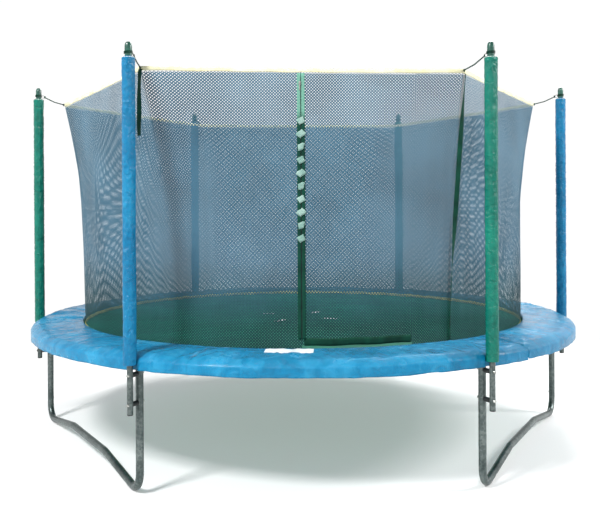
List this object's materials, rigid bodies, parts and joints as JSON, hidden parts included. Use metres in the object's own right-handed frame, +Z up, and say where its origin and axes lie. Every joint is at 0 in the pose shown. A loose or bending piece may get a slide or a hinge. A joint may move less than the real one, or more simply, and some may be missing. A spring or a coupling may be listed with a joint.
{
  "type": "trampoline",
  "caption": "Round garden trampoline with sprung mat, padded rim, three bent-tube legs and a net enclosure hung from sleeved poles with a zipped net door.",
  "frame": {"origin": "on the ground, below the centre of the ring", "axes": "+Z up, -Y towards the entrance in the net, +X to the right of someone who faces the entrance"},
  "size_m": [3.838, 3.726, 2.367],
  "materials": {
    "galvanised_tube": "galvanised",
    "zinc_fastener": "zinc plated",
    "spring_steel": "zinc plated",
    "black_plastic": "moulded",
    "cap_plastic": "moulded",
    "foam": "closed-cell foam",
    "mat_fabric": "woven polypropylene",
    "pad_vinyl": "glossy vinyl-coated fabric",
    "sleeve_blue": "glossy vinyl",
    "sleeve_green": "glossy vinyl",
    "net_mesh": "knotless polyethylene net",
    "tape_cream": "woven tape",
    "strap_green": "woven webbing",
    "label_white": "matte film"
  },
  "bodies": {
    "frame": {"top_rail_1": "galvanised_tube", "safety_pad_1": "pad_vinyl", "top_rail_2": "galvanised_tube", "safety_pad_2": "pad_vinyl", "top_rail_3": "galvanised_tube", "safety_pad_3": "pad_vinyl", "top_rail_4": "galvanised_tube", "safety_pad_4": "pad_vinyl", "top_rail_5": "galvanised_tube", "safety_pad_5": "pad_vinyl", "top_rail_6": "galvanised_tube", "safety_pad_6": "pad_vinyl", "leg_upright_right": "galvanised_tube", "leg_upright_rear_right": "galvanised_tube", "leg_upright_rear_left": "galvanised_tube", "leg_upright_left": "galvanised_tube", "leg_upright_front_left": "galvanised_tube", "leg_upright_front_right": "galvanised_tube", "leg_base_rear": "galvanised_tube", "leg_base_left": "galvanised_tube", "leg_base_right": "galvanised_tube", "pole_sleeve_right": "sleeve_blue", "pole_sleeve_rear_right": "sleeve_green", "pole_sleeve_rear_left": "sleeve_blue", "pole_sleeve_left": "sleeve_green", "pole_sleeve_front_left": "sleeve_blue", "pole_sleeve_front_right": "sleeve_green", "leg_screws": "zinc_fastener", "poles_lower": "galvanised_tube", "poles_upper": "galvanised_tube", "pole_end_plugs": "black_plastic", "pole_bolts": "zinc_fastener", "pole_nuts": "zinc_fastener", "pole_spacers": "black_plastic", "pole_foam": "foam", "pole_caps": "cap_plastic", "net_eye_bolts": "zinc_fastener", "springs": "spring_steel", "pad_ties": "strap_green", "label_patch": "label_white", "net_front_left": "net_mesh", "net_front_right": "net_mesh", "net_top_tape": "tape_cream", "net_bottom_hem": "strap_green", "zip_tape_fixed": "strap_green", "corner_cords": "strap_green", "corner_strap": "strap_green", "hanging_strap": "strap_green", "net_panel_1": "net_mesh", "net_panel_2": "net_mesh", "net_panel_3": "net_mesh", "net_panel_4": "net_mesh", "net_panel_6": "net_mesh"},
    "mat": {"jumping_mat": "mat_fabric", "v_rings": "zinc_fastener"},
    "door": {"net_door": "net_mesh", "zip_tape_door": "strap_green"},
    "zip_slider": {"zip_slider": "zinc_fastener"}
  },
  "joints": [
    {"name": "mat_bounce", "type": "slide", "parent": "frame", "child": "mat", "axis": [0, 0, 1], "range_m": [-0.2, 0], "stiffness_N_per_m": 6000, "springref_m": 0.02, "deforming": ["springs"]},
    {"name": "door_swing", "type": "hinge", "parent": "frame", "child": "door", "pos_m": [0.556, -1.41036, 0.7425], "axis": [0, -0.0373, 0.9993], "range_deg": [0, 95]},
    {"name": "zip_slide", "type": "slide", "parent": "frame", "child": "zip_slider", "axis": [0, 0.011, 0.9999], "range_m": [-1.3, 0.02]}
  ]
}
